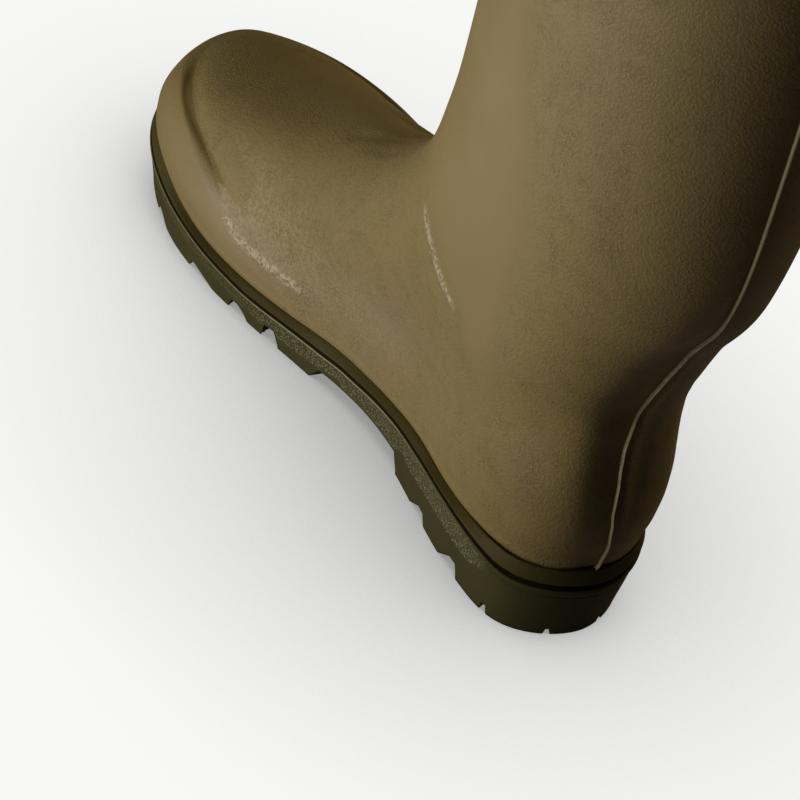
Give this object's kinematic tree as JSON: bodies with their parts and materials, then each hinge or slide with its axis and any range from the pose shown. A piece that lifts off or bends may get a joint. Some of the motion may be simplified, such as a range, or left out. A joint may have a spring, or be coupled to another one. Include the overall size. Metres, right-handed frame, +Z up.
{
  "type": "wellington boot",
  "caption": "Right-foot tall pull-on rubber boot with neoprene-lined hollow upper, smooth rand, toe guard, and a lugged sole with a stepped heel.",
  "frame": {"origin": "centre of the boot's box in plan, on the floor it stands on", "axes": "+Z up the shaft, -Y towards the toe, +X towards the inner (medial) side of the foot"},
  "size_m": [0.1174, 0.3277, 0.4],
  "materials": {
    "outsole": "matt moulded rubber, stippled strip on the wall",
    "rand": "smooth satin rubber",
    "upper": "finely grained satin rubber bonded to neoprene",
    "toe_guard": "smooth satin rubber",
    "insole": "napped footbed cloth"
  },
  "bodies": {
    "root": {"outsole": "outsole", "rand": "rand", "upper": "upper", "toe_guard": "toe_guard", "insole": "insole"}
  },
  "joints": []
}
